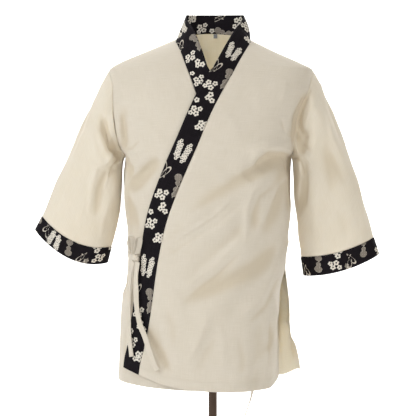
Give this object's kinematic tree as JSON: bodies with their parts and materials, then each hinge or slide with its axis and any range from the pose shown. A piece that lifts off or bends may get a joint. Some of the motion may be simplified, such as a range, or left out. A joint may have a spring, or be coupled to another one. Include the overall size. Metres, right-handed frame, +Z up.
{
  "type": "japanese chef jacket on a dress form with a stand",
  "caption": "Wrap-front kitchen jacket with a printed neck band and cuffs, elbow-length sleeves and side ties, on a display torso with a pole and round base.",
  "frame": {"origin": "centre of the round base's underside, on the pole's axis, on the floor", "axes": "+Z up along the pole, -Y out of the jacket's front, +X to the wearer's left, which is the viewer's right from the front"},
  "size_m": [0.7228, 0.3, 1.1151],
  "materials": {
    "cream_cotton": "matte plain-weave cotton in cream",
    "printed_cotton": "matte black cotton printed with white flower clusters, sandals, gourds and cords",
    "label_tape": "plain grey woven tape",
    "torso_shell": "smooth off-white shell",
    "pole_chrome": "polished chrome",
    "base_steel": "satin steel"
  },
  "bodies": {
    "root": {"back": "cream_cotton", "left_front": "cream_cotton", "right_front": "cream_cotton", "left_sleeve": "cream_cotton", "right_sleeve": "cream_cotton", "left_band": "printed_cotton", "right_band": "printed_cotton", "left_cuff": "printed_cotton", "right_cuff": "printed_cotton", "tie_knot": "cream_cotton", "tie_loop_side": "cream_cotton", "tie_loop_front": "cream_cotton", "tie_tail_side": "cream_cotton", "tie_tail_front": "cream_cotton", "tie_root_side": "cream_cotton", "tie_root_front": "cream_cotton", "inner_tie": "cream_cotton", "size_label": "label_tape", "display_torso": "torso_shell", "torso_flange": "pole_chrome", "pole": "pole_chrome", "base_plate": "base_steel"}
  },
  "joints": []
}
